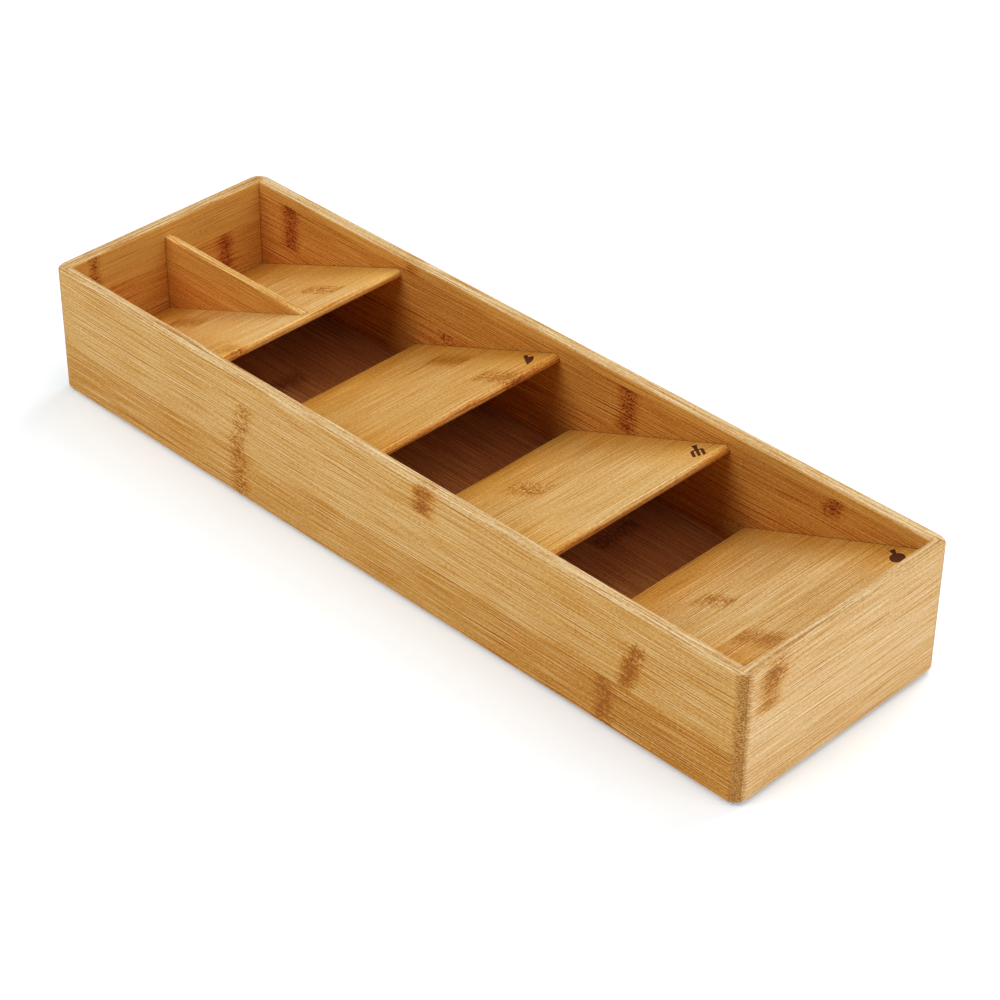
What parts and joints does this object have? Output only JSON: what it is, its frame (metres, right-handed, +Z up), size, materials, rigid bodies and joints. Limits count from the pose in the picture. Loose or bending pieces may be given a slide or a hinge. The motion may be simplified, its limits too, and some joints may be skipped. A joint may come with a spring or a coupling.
{
  "type": "cutlery tray",
  "caption": "Narrow bamboo cutlery tray for a drawer: a board frame with overlapping slanted ramps for knives, forks and spoons, and small divided bins at one end.",
  "frame": {"origin": "centre of the tray's footprint, on the surface its feet stand on", "axes": "+X along the tray from the small bins to the spoon end, +Y from the front long side to the rear one where the marks are, +Z up"},
  "size_m": [0.4, 0.12, 0.063],
  "materials": {
    "bamboo_long": "satin, grain along the tray",
    "bamboo_cross": "satin, grain across the tray",
    "clear_rubber": "clear, soft"
  },
  "bodies": {
    "root": {"front_side_board": "bamboo_long", "rear_side_board": "bamboo_long", "base_panel": "bamboo_long", "bin_divider": "bamboo_long", "left_end_board": "bamboo_cross", "right_end_board": "bamboo_cross", "bin_ramp": "bamboo_cross", "knife_ramp": "bamboo_cross", "fork_ramp": "bamboo_cross", "spoon_ramp": "bamboo_cross", "foot_front_left": "clear_rubber", "foot_front_right": "clear_rubber", "foot_rear_left": "clear_rubber", "foot_rear_right": "clear_rubber"}
  },
  "joints": []
}
